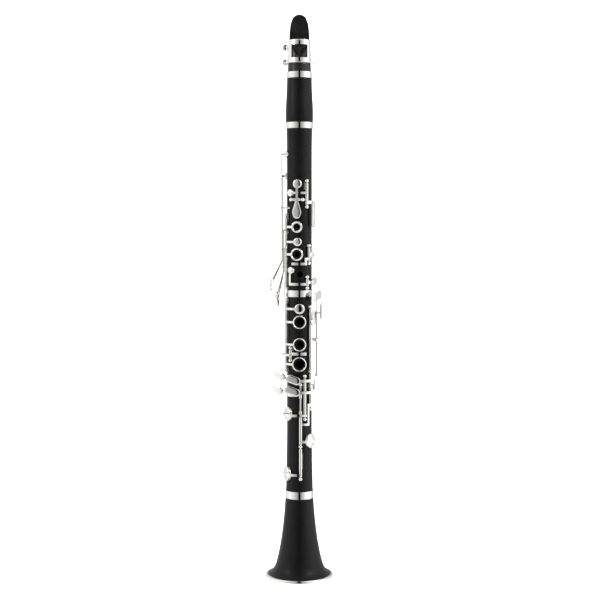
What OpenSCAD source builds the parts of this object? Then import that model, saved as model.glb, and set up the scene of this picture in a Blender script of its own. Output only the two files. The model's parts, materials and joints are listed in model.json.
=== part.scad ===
// Clarinet in B flat, Boehm system, 17 keys and 6 rings, standing on its bell.
// The origin is the centre of the bell's mouth, +Z runs up the bore to the mouthpiece,
// the tone holes face -Y, and the reed and the thumb side face +Y.

/* [Heights above the bell's mouth] */
// Top of the bell, where the lower joint's shoulder rests
bell_top = 102.4; // [98:0.1:106]
// Shoulder between the lower joint and the upper joint
joint_line = 337.8; // [336:0.1:339]
// Top of the upper joint, where the barrel sits
upper_top = 524.6; // [520:0.1:530]
// Top of the barrel, where the mouthpiece sits
barrel_top = 589.3; // [586:0.1:592]
// Tip of the mouthpiece
tip_z = 656; // [652:0.5:660]

/* [Turned bodies] */
// Radius of both joints
body_r = 14.6; // [14.5:0.05:14.7]
// Radius of the air column
bore_r = 7.4; // [7:0.05:7.6]
// Radius of the rim ring at the bell's mouth
rim_r = 39.5; // [38:0.5:41]
// Radius of every tenon's cork, which slides in its socket
cork_r = 11.4; // [11:0.1:11.8]
// Free gap round a cork in its socket
cork_gap = 0.05; // [0.03:0.01:0.08]

/* [Key work] */
// Distance from the bore's axis to a hinge rod that runs along the body
hinge_r = 17.2; // [17.1:0.1:17.3]
// Radius of a steel hinge rod
rod_r = 0.9; // [0.8:0.05:0.95]
// Outer radius of a hinge tube
tube_r = 1.7; // [1.5:0.1:1.8]
// Running gap between a rod and its tube
run_gap = 0.06; // [0.03:0.01:0.08]
// Radius of the ball on a post
ball_r = 2.2; // [2:0.05:2.25]
// Angle that a ring key stands open, in degrees
ring_open = 4.5; // [3:0.5:5]
// Angle that an open-standing pad key stands open, in degrees
pad_open = 5; // [3:0.5:5.5]

/* [Hidden] */
$fn = 64;

black = "#1d1d1f";
silver = "#d9dadd";
steel = "#9a9ca0";
cork = "#b98d5f";
felt = "#d8cfbd";
cane = "#d9bf7c";
tiny = 0.02;

// Turned outline sizes
tenon_len = 16;
tenon_wall_r = cork_r - 0.7;
socket_r = cork_r + cork_gap;
socket_depth = tenon_len + 0.6;
ring_height = 7.6;
bell_ring_height = 8.8;
bell_cork_r = cork_r + 1.4;
bell_socket_r = bell_cork_r + cork_gap;
bell_tenon_len = 18;

// Angles round the body, from the front, positive towards +X
ring_phi = -64;
thumb_phi = -143;
a_phi = -9;
g_phi = 30;
g_pad_phi = -43;
side_phi = -100;
sliver_phi = 40;
c_phi = 32;
c_pad_phi = -40;
b_phi = -37;
b_pad_phi = -88;
lever_phi = 84;
right_phi = 48;
fs_phi = 21.5;
long_phi = 4.3;
fs_pad_phi = -67;
f_pad_phi = 60;
e_pad_phi = -70;
ab_pad_phi = 82;

// Finger-hole rings: angle, height, ring bore radius, ring outer radius
first_ring = [-8, 411.1, 4.4, 6.5];
second_ring = [-8, 379.5, 5.5, 7.3];
third_ring = [3, 301.2, 6.3, 7.7];
fourth_ring = [3, 275.1, 6.3, 7.7];
fifth_ring = [2, 252.2, 7.0, 8.4];
thumb_ring = [180, 418, 5.2, 7.0];
ring_seat = body_r + 0.6;
ring_thick = 1.4;
chimney_top = body_r + 1.2;

// Pads: angle, height, seat distance from the axis, cup radius
a_spec = [a_phi, 460.7, 13.2, 5.2];
g_spec = [g_pad_phi, 450.3, 13.5, 4.3];
thumb_spec = [-171, 399, 13.6, 3.9];
second_spec = [-6, 393.9, 13.3, 4.9];
register_spec = [180, 500, 15.6, 4.2];
sliver_spec = [70, 379, 13.5, 4.4];
c_spec = [c_pad_phi, 361, 13.5, 4.2];
right_spec = [3, 316.5, 13, 6];
b_spec = [b_pad_phi, 263, 13.4, 4.6];
fs_spec = [fs_pad_phi, 193.4, 12.2, 8.3];
f_spec = [f_pad_phi, 161.7, 12.2, 8.4];
e_spec = [e_pad_phi, 122.8, 13, 8.5];
ab_spec = [ab_pad_phi, 222, 13, 6.5];

// Side keys: sideways place of the lever, pad height, pivot height, touch height,
// touch distance from the axis, sideways place of the pad, sideways place of the touch
side_specs = [
    [-6.1, 385, 364, 322.4, 27.3, -7.6, -8.4],
    [-2.9, 407, 364, 330.6, 27.3, -5.4, -1.4],
    [3.7, 470, 433, 341.4, 33.4, 0.4, 2.6],
    [6.9, 495, 433, 347.6, 31.6, 6.9, 9]
];
lever_r = 18.7;
lever_thick = 1.3;
lever_width = 2.4;
lever_pivot_r = 19.2;
flare_z = 372;

// Posts along the body: angle, height
upper_post_spots = [
    [ring_phi, 425], [ring_phi, 405.3], [ring_phi, 341],
    [g_phi, 464], [g_phi, 434.2],
    [sliver_phi, 389.4], [sliver_phi, 369.2],
    [c_phi, 353.4], [c_phi, 340.6],
    [thumb_phi, 422.5], [thumb_phi, 392]
];
lower_post_spots = [
    [ring_phi, 326.3], [ring_phi, 244.8],
    [b_phi, 271.2], [b_phi, 256.5],
    [right_phi, 318.7], [right_phi, 243.5], [right_phi, 226.5], [right_phi, 199.6],
    [fs_phi, 238.4], [fs_phi, 188.1],
    [long_phi, 228.5], [long_phi, 156.1], [long_phi, 117.9]
];
side_post_spots = [[0.3, 433], [10.3, 433], [-9.5, 364], [0.5, 364]];
side_ball_r = 1.7;
a_hinge_r = 18;
a_hinge_z = 442.5;
register_hinge_r = 18.4;
register_hinge_z = 470;
left_lever_hinge_r = 20;
left_lever_hinge_z = 280;

// ---------- helpers ----------

// Draws its children pointing away from the bore at an angle, height and distance
module outward(phi, z, r)
    rotate([0, 0, phi]) translate([0, -r, z]) rotate([90, 0, 0]) children();

// A bar that wraps round the body between two angles
module wrap_bar(phi_a, phi_b, z, r, thick, width)
    rotate([0, 0, min(phi_a, phi_b) - 90])
        rotate_extrude(angle = abs(phi_b - phi_a))
            translate([r, z - width / 2]) square([thick, width]);

// Tube with a running bore, along the body
module hinge_tube(phi, z_low, z_high, r = hinge_r)
    rotate([0, 0, phi]) translate([0, -r, z_low]) difference() {
        cylinder(r = tube_r, h = z_high - z_low);
        translate([0, 0, -1]) cylinder(r = rod_r + run_gap, h = z_high - z_low + 2);
    }

// Cuts the running bore again, through whatever was joined to the tube
module hinge_bore(phi, z_low, z_high, r = hinge_r)
    rotate([0, 0, phi]) translate([0, -r, z_low - 1])
        cylinder(r = rod_r + run_gap, h = z_high - z_low + 2);

module rod_along(phi, z_low, z_high, r = hinge_r)
    rotate([0, 0, phi]) translate([0, -r, z_low]) cylinder(r = rod_r, h = z_high - z_low);

// Cylinder that lies across the body, its middle at a sideways offset
module across(phi, z, r, offset, radius, length)
    rotate([0, 0, phi]) translate([offset - length / 2, -r, z])
        rotate([0, 90, 0]) cylinder(r = radius, h = length);

// One post: a foot, a stem and a drilled ball, before the body is cut away from it
module post(phi, z, r = hinge_r, offset = 0, ball = ball_r)
    rotate([0, 0, phi]) translate([offset, 0, z]) rotate([90, 0, 0]) {
        cylinder(r = 1.2, h = r);
        cylinder(r = ball - 0.5, h = sqrt(body_r * body_r - offset * offset) + 0.5);
        translate([0, 0, r]) sphere(r = ball);
    }

// Turns a key about a hinge that runs along the body
module swing(phi, angle, r = hinge_r)
    translate([r * sin(phi), -r * cos(phi), 0]) rotate([0, 0, angle])
        translate([-r * sin(phi), r * cos(phi), 0]) children();

function arc_points(r, y, rise, steps) =
    [for (i = [0 : steps]) [r * cos(90 * i / steps), y + rise * sin(90 * i / steps)]];

pad_thick = 2.4;
cup_wall = 0.5;
cup_lip = 1.2;

// Pad cup: a shallow domed bowl over the pad, its lip at pad mid-height
module cup(spec)
    outward(spec[0], spec[1], spec[2] + cup_lip)
        rotate_extrude() polygon(concat(
            [[0, cup_lip], [spec[3] - cup_wall, cup_lip], [spec[3] - cup_wall, 0]],
            [[spec[3], 0]],
            arc_points(spec[3], cup_lip, 1.3, 6)
        ));

function cup_top(spec) = spec[2] + 2 * cup_lip + 1.3;

module pad(spec)
    color(felt) outward(spec[0], spec[1], spec[2] + 0.04)
        cylinder(r = spec[3] - cup_wall - 0.03, h = pad_thick - 0.05);

// Sunk seat with a raised rim round the tone hole, cut from a body
module seat_cut(spec, hole_r) {
    outward(spec[0], spec[1], 0) cylinder(r = hole_r, h = spec[2] + 1);
    outward(spec[0], spec[1], spec[2]) cylinder(r = spec[3] + 0.9, h = 12);
    outward(spec[0], spec[1], spec[2] - 0.7) difference() {
        cylinder(r = spec[3] + 0.9, h = 1);
        translate([0, 0, -1]) cylinder(r = hole_r + 1.1, h = 3);
    }
}

// Raised rim of a finger hole
module chimney(ring)
    outward(ring[0], ring[1], 11) cylinder(r = ring[2] - 1.3, h = chimney_top - 11);

module chimney_hole(ring)
    outward(ring[0], ring[1], 0) cylinder(r = ring[2] - 2.5, h = 20);

// Finger ring of a key, in its pressed place
module finger_ring(ring)
    outward(ring[0], ring[1], ring_seat) rotate_extrude()
        translate([ring[2], 0]) square([ring[3] - ring[2], ring_thick]);

// Arm from a hinge to a finger ring's side, in the pressed place
module ring_arm(ring, phi, side) {
    level = ring_seat + ring_thick / 2;
    turn = atan((ring[3] - 0.7) / level);
    wrap_bar(phi, ring[0] + side * turn, ring[1], level / cos(turn) - 0.65, 1.3, 2.6);
}

// Oval plate, flat on its own XY plane
module oval(length, width, thick)
    linear_extrude(thick) {
        square([length - width, width], center = true);
        for (side = [-1, 1]) translate([side * (length - width) / 2, 0]) circle(d = width);
    }

// Boss on a cup's crown, where its arm is soldered
module cup_boss(spec, arm_r)
    outward(spec[0], spec[1], cup_top(spec) - 0.5) cylinder(r = 1.5, h = arm_r - cup_top(spec) + 1);

// ---------- bell ----------

bell_low = 3.2;
bell_wall = 3.4;
throat_r = 10.6;
function bell_out(z) = 13 + 18.9 * exp(-z / 55) + 14.9 * exp(-z / 3.7);
bell_steps = 26;
// Heights crowd together towards the mouth, where the wall flares fastest
function bell_z(i) = bell_low + (bell_top - bell_ring_height - bell_low) * pow(i / bell_steps, 2);

module bell() {
    color(black) rotate_extrude() polygon(concat(
        [for (i = [0 : bell_steps]) [bell_out(bell_z(i)), bell_z(i)]],
        [
            [15.6, bell_top - bell_ring_height], [15.6, bell_top],
            [bell_socket_r, bell_top], [bell_socket_r, bell_top - bell_tenon_len - 0.6],
            [throat_r, bell_top - bell_tenon_len - 0.6]
        ],
        [for (i = [bell_steps : -1 : 0]) let (z = bell_z(i))
            if (z < 78) [max(throat_r, bell_out(z) - bell_wall), z]]
    ));
}

module bell_rim_ring() {
    mouth_r = bell_out(bell_low) - bell_wall;
    color(silver) rotate_extrude() polygon([
        [mouth_r, 0], [rim_r - 0.8, 0], [rim_r, 0.8], [rim_r, 2.4], [rim_r - 0.8, bell_low],
        [mouth_r, bell_low]
    ]);
}

module bell_socket_ring() {
    color(silver) rotate_extrude()
        translate([15.6 + tiny, bell_top - bell_ring_height + tiny])
            square([1, bell_ring_height - 2 * tiny]);
}

// ---------- lower joint ----------

foot_r = 15.8;
foot_start = 180;
foot_bore_r = 10.6;
function lower_out(z) = body_r + (foot_r - body_r) * pow(max(0, foot_start - z) / 75, 1.6);
function lower_bore(z) = bore_r + (foot_bore_r - bore_r) * pow(max(0, foot_start - z) / 95, 1.4);
lower_steps = 8;
function lower_z(i) = bell_top + (foot_start - bell_top) * i / lower_steps;

tenon_end = bell_top - bell_tenon_len;

// The turned outside of the lower joint, as a solid
module lower_outline()
    rotate_extrude() polygon(concat(
        [[0, tenon_end], [bell_cork_r - 0.7, tenon_end], [bell_cork_r - 0.7, bell_top]],
        [for (i = [0 : lower_steps]) [lower_out(lower_z(i)), lower_z(i)]],
        [
            [body_r, joint_line - ring_height], [body_r - 1, joint_line - ring_height],
            [body_r - 1, joint_line], [0, joint_line]
        ]
    ));

module lower_joint() {
    color(black) difference() {
        union() {
            lower_outline();
            for (ring = [third_ring, fourth_ring, fifth_ring]) chimney(ring);
        }
        rotate_extrude() polygon(concat(
            [[0, tenon_end - 1], [lower_bore(tenon_end), tenon_end - 1]],
            [for (i = [0 : lower_steps]) [lower_bore(lower_z(i)), lower_z(i)]],
            [
                [bore_r, joint_line - socket_depth], [socket_r, joint_line - socket_depth],
                [socket_r, joint_line + 1], [0, joint_line + 1]
            ]
        ));
        for (ring = [third_ring, fourth_ring, fifth_ring]) chimney_hole(ring);
        seat_cut(right_spec, 3);
        seat_cut(b_spec, 2.4);
        seat_cut(fs_spec, 5.4);
        seat_cut(f_spec, 5.6);
        seat_cut(e_spec, 5.8);
        seat_cut(ab_spec, 4);
    }
}

module cork_sleeve(z_low, z_high, r)
    translate([0, 0, z_low]) difference() {
        cylinder(r = r, h = z_high - z_low);
        translate([0, 0, -1]) cylinder(r = r - 0.7 + tiny, h = z_high - z_low + 2);
    }

module lower_joint_cork()
    color(cork) cork_sleeve(bell_top - bell_tenon_len + 2, bell_top - 2, bell_cork_r);

module lower_joint_ring()
    color(silver) rotate_extrude()
        translate([body_r - 1 + tiny, joint_line - ring_height + tiny])
            square([1.4, ring_height - 2 * tiny]);

module lower_posts() {
    color(silver) difference() {
        union() {
            for (spot = lower_post_spots) post(spot[0], spot[1]);
            for (side = [-1, 1]) post(lever_phi, left_lever_hinge_z, left_lever_hinge_r, 6.5 * side);
        }
        lower_outline();
        for (spot = lower_post_spots)
            rod_along(spot[0], spot[1] - 4, spot[1] + 4);
        for (spot = lower_post_spots) if (spot[0] == long_phi)
            hinge_bore(spot[0], spot[1] - 3, spot[1] + 3);
        across(lever_phi, left_lever_hinge_z, left_lever_hinge_r, 0, rod_r, 20);
    }
}

module lower_hinge_rods() {
    color(steel) {
        rod_along(ring_phi, 243.2, 327.9);
        rod_along(b_phi, 254.8, 272.8);
        rod_along(right_phi, 198, 320.3);
        rod_along(fs_phi, 186.5, 240);
        across(lever_phi, left_lever_hinge_z, left_lever_hinge_r, 0, rod_r, 16.6);
    }
}

// Needle spring: a wire that leans on a key from its post
module needle_spring(phi, z_low, length, r = 15.9)
    rotate([0, 0, phi]) translate([0, -r, z_low]) cylinder(r = 0.28, h = length);

module lower_springs() {
    color(steel) {
        needle_spring(ring_phi - 9, 248, 9);
        needle_spring(b_phi + 9, 267.5, 4);
        needle_spring(fs_phi + 8, 206, 18);
        needle_spring(right_phi + 8.5, 254, 16);
        needle_spring(right_phi + 8.5, 206, 6);
        needle_spring(long_phi + 8.5, 130, 18);
    }
}

// ---------- thumb rest ----------

rest_z = 262;
strap_rise = 32.5;
rest_screw_rises = [0, 32.5];

module thumb_rest() {
    color(silver) {
        difference() {
            union() {
                // Curved saddle plate
                wrap_bar(158, 202, rest_z + 16, body_r + tiny, 1.6, 40);
                // Rail that the hook slides on
                outward(180, rest_z + 16, body_r) translate([-4, -17, 0]) cube([8, 34, 3.4]);
                // Hook that stands out over the thumb
                outward(180, rest_z + 26, body_r + 1.5) translate([-8, -1.6, 0]) cube([16, 3.2, 19]);
                outward(180, rest_z + 22, body_r + 19) translate([-8, -5.6, 0]) cube([16, 11.2, 2]);
                // Eye for a neck strap
                across(180, rest_z + strap_rise, body_r + 10.9, 0, 5, 2);
            }
            across(180, rest_z + strap_rise, body_r + 10.9, 0, 3, 10);
            for (rise = rest_screw_rises) outward(180, rest_z + rise, 0) cylinder(r = 1.3, h = 30);
        }
    }
}

module thumb_rest_screws() {
    color(silver) for (rise = rest_screw_rises)
        outward(180, rest_z + rise, body_r + 0.3) {
            cylinder(r = 1.25, h = 3.3);
            translate([0, 0, 3.15]) cylinder(r = 2.2, h = 1);
        }
}

// ---------- keys of the lower joint ----------

module right_hand_ring_key() {
    color(silver) swing(ring_phi, -ring_open) difference() {
        union() {
            hinge_tube(ring_phi, 247.2, 323.9);
            for (ring = [third_ring, fourth_ring, fifth_ring]) {
                finger_ring(ring);
                ring_arm(ring, ring_phi, -1);
            }
            cup(right_spec);
            cup_boss(right_spec, 16.9);
            wrap_bar(ring_phi, right_spec[0] + 4, right_spec[1], 16.6, 1.3, 2.6);
            // Bridge arm, reaching up under the upper joint's
            wrap_bar(ring_phi, ring_phi - 22, 320.5, 15.8, 1.1, 4);
            wrap_bar(ring_phi - 11, ring_phi - 22, 326.5, 15.8, 1.1, 16);
        }
        hinge_bore(ring_phi, 247, 324);
    }
}

module b_sliver_key() {
    color(silver) difference() {
        union() {
            hinge_tube(b_phi, 258.9, 268.8);
            wrap_bar(b_phi, 27, 264.3, 16.6, 1.4, 3.4);
            wrap_bar(b_phi, b_pad_phi, 263, 19.5, 1.3, 2.6);
            outward(b_phi, 263, hinge_r) cylinder(r = 1.5, h = 3.4);
            cup(b_spec);
            cup_boss(b_spec, 20);
        }
        hinge_bore(b_phi, 258, 269);
    }
}

spatula_thick = 1.5;

// A left-hand lever that rocks on the cross rod, with its spatula at the top
module left_lever(offset, reach, spatula_phi, spatula_z, spatula_r, size, tilt) {
    color(silver) difference() {
        union() {
            rotate([0, 0, lever_phi]) translate([offset - 1.2, -20.6, 237])
                cube([2.4, 1.4, reach - 237]);
            across(lever_phi, left_lever_hinge_z, left_lever_hinge_r, offset, tube_r, 3.6);
            rotate([0, 0, lever_phi]) translate([offset, -19.9, reach - 1.2])
                rotate([90, 0, 0]) cylinder(r = 1.2, h = spatula_r - 18.6);
            // Pin at the foot, over the right-hand key
            rotate([0, 0, lever_phi]) translate([offset, -19.6, 238.2])
                rotate([-90, 0, 0]) cylinder(r = 1, h = 1.6);
            outward(spatula_phi, spatula_z, spatula_r) rotate([0, 0, tilt])
                oval(size[0], size[1], spatula_thick);
        }
        across(lever_phi, left_lever_hinge_z, left_lever_hinge_r, offset, rod_r + run_gap, 8);
    }
}

module left_e_lever()
    left_lever(-2.4, 331, 64, 331, 22.4, [22, 9.4], 14);

module left_f_sharp_lever()
    left_lever(2.4, 312, 82, 313.5, 24.6, [22, 9], 74);

module left_f_lever() {
    color(silver) difference() {
        union() {
            hinge_tube(right_phi, 245.9, 316.3);
            wrap_bar(right_phi, right_phi + 12, 308, 18.2, 1.4, 3);
            outward(right_phi + 9, 306, 19) rotate([0, 0, 82]) oval(18, 6.4, spatula_thick);
            // Foot that works the right-hand touch
            wrap_bar(right_phi, right_phi + 13, 247.8, 16.6, 1.3, 2.6);
        }
        hinge_bore(right_phi, 245, 317);
    }
}

paddle_tilt = -20;
paddle_thick = 1.8;

// A little-finger paddle: centre, face angle, length, width
module paddle(centre, phi, length, width)
    translate(centre) rotate([0, 0, phi]) rotate([90, 0, 0]) rotate([0, 0, paddle_tilt])
        oval(length, width, paddle_thick);

// Upright at the end of a paddle's arm, and the strut from it to the paddle
module paddle_strut(phi, z_low, z_high, reach) {
    outward(phi, z_low, 15.5) translate([-1.5, 0, 0]) cube([3, z_high - z_low, 1.2]);
    outward(phi, z_high - 3, 15.6) translate([-1.5, 0, 0]) cube([3, 3, reach - 15.6]);
}

a_flat_paddle = [-7.1, -19.6, 234.7];
f_paddle = [-8.3, -19.6, 221.7];
f_sharp_paddle = [-22.6, -11.5, 238.9];
e_paddle = [-25, -10.6, 222.6];

module a_flat_key() {
    color(silver) difference() {
        union() {
            hinge_tube(right_phi, 228.9, 241.1);
            wrap_bar(right_phi, -2, 233.2, 20, 1.3, 3);
            outward(right_phi, 233.2, hinge_r) cylinder(r = 1.3, h = 3.6);
            paddle(a_flat_paddle, -8, 17.8, 9.2);
            // Arm to the pad on the far side of the rod
            wrap_bar(right_phi, ab_pad_phi, 232, 16.9, 1.3, 2.8);
            outward(ab_pad_phi, 227.5, 16.9) translate([-1.4, -6.2, 0]) cube([2.8, 12, 1.3]);
            cup(ab_spec);
            cup_boss(ab_spec, 17.8);
        }
        hinge_bore(right_phi, 228, 242);
    }
}

module f_touch_key() {
    color(silver) difference() {
        union() {
            hinge_tube(right_phi, 202.4, 224.1);
            wrap_bar(right_phi, -4, 219.6, 20, 1.3, 3);
            outward(right_phi, 219.6, hinge_r) cylinder(r = 1.3, h = 3.6);
            paddle(f_paddle, -8, 19.2, 9.2);
            // Crow's foot, down over the low F key's tail
            wrap_bar(right_phi, 32, 204.6, 17.5, 1.3, 3);
            outward(34.6, 193, 17.6) translate([-1.1, -12.2, 0]) cube([2.2, 25, 1.2]);
            wrap_bar(38, 17, 182, 17.6, 1.2, 2.6);
        }
        hinge_bore(right_phi, 202, 225);
    }
}

module f_key() {
    color(silver) swing(long_phi, -pad_open) difference() {
        union() {
            hinge_tube(long_phi, 158.9, 190.6);
            cup(f_spec);
            cup_boss(f_spec, 17.7);
            wrap_bar(long_phi, f_pad_phi + 3, 161.7, 17.2, 1.3, 3);
            wrap_bar(long_phi, 27, 182, 15.5, 1.1, 2.6);
        }
        hinge_bore(long_phi, 158, 191);
    }
}

module f_sharp_key() {
    color(silver) swing(fs_phi, pad_open) difference() {
        union() {
            hinge_tube(fs_phi, 190.9, 235.7);
            cup(fs_spec);
            cup_boss(fs_spec, 19.9);
            outward(fs_phi, 192.6, hinge_r) cylinder(r = 1.5, h = 3);
            wrap_bar(fs_phi, fs_pad_phi - 3, 192.8, 19.3, 1.2, 3);
            wrap_bar(fs_phi, -58, 232.6, 15.5, 1.2, 3);
            paddle(f_sharp_paddle, -38, 16.2, 9.2);
            paddle_strut(-56, 231.1, 237.7, 24.6);
        }
        hinge_bore(fs_phi, 190, 236);
    }
}

// The low E key turns with its own rod, which runs through the low F key's tube
module e_key() {
    color(silver) swing(long_phi, pad_open) {
        rod_along(long_phi, 116.2, 230.2, hinge_r);
        rotate([0, 0, long_phi]) translate([0, -hinge_r, 120.5]) cylinder(r = tube_r, h = 33);
        for (hub_z = [193.2, 212.8])
            rotate([0, 0, long_phi]) translate([0, -hinge_r, hub_z]) cylinder(r = tube_r, h = 4.6);
        cup(e_spec);
        cup_boss(e_spec, 18.6);
        wrap_bar(long_phi, e_pad_phi - 3, 122.8, 18, 1.2, 3);
        wrap_bar(long_phi, -60, 215.9, 15.5, 1.2, 3);
        paddle(e_paddle, -38, 16.2, 9.2);
        paddle_strut(-58, 214.4, 221.4, 25.8);
    }
}

// ---------- upper joint ----------

vent_z = register_spec[1];

module upper_joint() {
    color(black) difference() {
        union() {
            rotate_extrude() polygon([
                [0, joint_line - tenon_len], [tenon_wall_r, joint_line - tenon_len],
                [tenon_wall_r, joint_line], [body_r, joint_line + tiny],
                [body_r, upper_top - 18], [body_r + 0.4, upper_top], [tenon_wall_r, upper_top],
                [tenon_wall_r, upper_top + tenon_len], [0, upper_top + tenon_len]
            ]);
            chimney(first_ring);
            chimney(second_ring);
        }
        translate([0, 0, joint_line - tenon_len - 1])
            cylinder(r = bore_r, h = upper_top - joint_line + 2 * tenon_len + 2);
        chimney_hole(first_ring);
        chimney_hole(second_ring);
        // The third finger's plain hole, with a small dished edge
        outward(2.5, 356.3, 0) cylinder(r = 3.4, h = 20);
        outward(2.5, 356.3, 14.2) cylinder(r = 3.9, h = 2);
        outward(180, thumb_ring[1], 0) cylinder(r = 4.02, h = 20);
        outward(180, vent_z, 0) cylinder(r = 2.42, h = 20);
        for (spec = [a_spec, second_spec, thumb_spec]) seat_cut(spec, 2.6);
        for (spec = [g_spec, sliver_spec, c_spec]) seat_cut(spec, 2.3);
        for (side = side_specs) side_seat_cut(side);
    }
}

module upper_joint_corks() {
    color(cork) {
        cork_sleeve(joint_line - tenon_len + 2, joint_line - 2, cork_r);
        cork_sleeve(upper_top + 2, upper_top + tenon_len - 2, cork_r);
    }
}

// Metal bush of the thumb hole and the register vent
module upper_vent_tubes() {
    color(silver) {
        outward(180, thumb_ring[1], 7.8) difference() {
            cylinder(r = 4, h = chimney_top - 7.8);
            translate([0, 0, -1]) cylinder(r = 3.2, h = 12);
        }
        outward(180, vent_z, 5.2) difference() {
            cylinder(r = 2.4, h = register_spec[2] - 5.2);
            translate([0, 0, -1]) cylinder(r = 1.5, h = 16);
        }
    }
}

module upper_posts() {
    color(silver) difference() {
        union() {
            for (spot = upper_post_spots) post(spot[0], spot[1]);
            for (side = [-1, 1]) {
                post(a_phi, a_hinge_z, a_hinge_r, 6.8 * side);
                post(180, register_hinge_z, register_hinge_r, 6.4 * side);
            }
            for (spot = side_post_spots)
                post(side_phi, spot[1], lever_pivot_r, spot[0], side_ball_r);
        }
        cylinder(r = body_r + tiny, h = upper_top);
        for (spot = upper_post_spots) rod_along(spot[0], spot[1] - 4, spot[1] + 4);
        upper_cross_rods();
    }
}

module upper_cross_rods() {
    across(a_phi, a_hinge_z, a_hinge_r, 0, rod_r, 17);
    across(180, register_hinge_z, register_hinge_r, 0, rod_r, 16);
    across(side_phi, 433, lever_pivot_r, 5.3, rod_r, 13);
    across(side_phi, 364, lever_pivot_r, -4.5, rod_r, 13);
}

module upper_hinge_rods() {
    color(steel) {
        rod_along(ring_phi, 339.4, 426.6);
        rod_along(g_phi, 432.6, 465.6);
        rod_along(sliver_phi, 367.6, 391);
        rod_along(c_phi, 339, 355);
        rod_along(thumb_phi, 390.4, 424.1);
        upper_cross_rods();
    }
}

module upper_springs() {
    color(steel) {
        needle_spring(ring_phi + 9, 344, 10);
        needle_spring(ring_phi + 9, 419, 4);
        needle_spring(g_phi - 8.5, 454, 8);
        needle_spring(sliver_phi + 9, 381, 7);
        needle_spring(thumb_phi - 9, 391, 3);
    }
}

// ---------- keys of the upper joint ----------

module first_ring_key() {
    color(silver) swing(ring_phi, -ring_open) difference() {
        union() {
            hinge_tube(ring_phi, 407.9, 422.4);
            finger_ring(first_ring);
            ring_arm(first_ring, ring_phi, -1);
        }
        hinge_bore(ring_phi, 407, 423);
    }
}

module thumb_ring_key() {
    color(silver) swing(thumb_phi, ring_open) difference() {
        union() {
            hinge_tube(thumb_phi, 394.6, 419.9);
            finger_ring(thumb_ring);
            ring_arm([-180, thumb_ring[1], thumb_ring[2], thumb_ring[3]], thumb_phi, 1);
            cup(thumb_spec);
            cup_boss(thumb_spec, 16.9);
            wrap_bar(thumb_phi, thumb_spec[0] - 4, thumb_spec[1], 16.3, 1.2, 2.4);
        }
        hinge_bore(thumb_phi, 394, 420);
    }
}

module second_ring_key() {
    color(silver) swing(ring_phi, -ring_open) difference() {
        union() {
            hinge_tube(ring_phi, 343.5, 402.8);
            finger_ring(second_ring);
            ring_arm(second_ring, ring_phi, -1);
            cup(second_spec);
            cup_boss(second_spec, 17);
            wrap_bar(ring_phi, second_spec[0] + 4, second_spec[1], 16.4, 1.2, 2.4);
            // Bridge arm, reaching down over the lower joint's
            wrap_bar(ring_phi, ring_phi - 22, 346.4, 17.6, 1.1, 4);
            wrap_bar(ring_phi - 11, ring_phi - 22, 338.4, 17.6, 1.1, 20);
        }
        hinge_bore(ring_phi, 343, 403);
    }
}

module a_key() {
    color(silver) difference() {
        union() {
            across(a_phi, a_hinge_z, a_hinge_r, 0, tube_r, 8.6);
            rotate([0, 0, a_phi]) translate([-1.4, -19.6, a_hinge_z - 1]) cube([2.8, 1.4, 20.5]);
            cup(a_spec);
            cup_boss(a_spec, 19);
            // Touch plate, a long drop shape with a raised spine
            outward(a_phi, 433.4, 18.9) {
                linear_extrude(1.5) {
                    polygon([[-1.7, 7.2], [-5.1, -4.2], [-5.1, -6.2], [-3.9, -10], [3.9, -10],
                        [5.1, -6.2], [5.1, -4.2], [1.7, 7.2]]);
                    translate([0, -5.2]) circle(r = 5.2);
                    translate([0, -8.5]) circle(r = 4.2);
                }
                translate([-1.2, 4, 0]) cube([2.4, 5, 1.4]);
            }
        }
        across(a_phi, a_hinge_z, a_hinge_r, 0, rod_r + run_gap, 12);
    }
}

module g_sharp_key() {
    color(silver) difference() {
        union() {
            hinge_tube(g_phi, 436.8, 461.3);
            wrap_bar(g_phi, g_pad_phi + 15.2, g_spec[1], 15.6, 1.2, 2.4);
            cup(g_spec);
            // Lever round to the right, with its long oval touch
            wrap_bar(g_phi, 62, 439.5, 17.2, 1.4, 3.4);
            outward(62, 426, 18) rotate([0, 0, 90]) oval(31, 6.4, spatula_thick);
        }
        hinge_bore(g_phi, 436, 462);
    }
}

module register_key() {
    color(silver) difference() {
        union() {
            across(180, register_hinge_z, register_hinge_r, 0, tube_r, 8);
            outward(180, 478, 19.4) translate([-1.5, -33, 0]) cube([3, 56, 1.4]);
            cup(register_spec);
            cup_boss(register_spec, 20.2);
            outward(180, 436.2, 19.9) rotate([0, 0, 90]) oval(19.8, 8, spatula_thick);
        }
        across(180, register_hinge_z, register_hinge_r, 0, rod_r + run_gap, 12);
    }
}

module e_flat_sliver_key() {
    color(silver) difference() {
        union() {
            hinge_tube(sliver_phi, 371.7, 386.9);
            wrap_bar(-30, sliver_phi - 11, 368.6, 16.8, 1.4, 3);
            wrap_bar(sliver_phi - 20, sliver_phi - 11, 371.4, 16.8, 1.4, 8.6);
            wrap_bar(sliver_phi - 20, sliver_phi, 374.3, 16.8, 1.4, 2.8);
            wrap_bar(sliver_phi, 73, 379, 16.9, 1.3, 2.6);
            cup(sliver_spec);
            cup_boss(sliver_spec, 17.6);
        }
        hinge_bore(sliver_phi, 371, 387);
    }
}

module c_sharp_key() {
    color(silver) difference() {
        union() {
            hinge_tube(c_phi, 343.1, 350.9);
            wrap_bar(-43, c_phi, 345, 15.7, 1.3, 3);
            outward(c_pad_phi - 1, 352, 15.7) translate([-1.3, -8.5, 0]) cube([2.6, 13.7, 1.3]);
            cup(c_spec);
            wrap_bar(c_phi, 58, 347.2, 17.2, 1.4, 3.4);
            outward(66, 348, 18) rotate([0, 0, 20]) oval(14, 8, spatula_thick);
        }
        hinge_bore(c_phi, 343, 351);
    }
}

// ---------- side keys ----------

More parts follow.
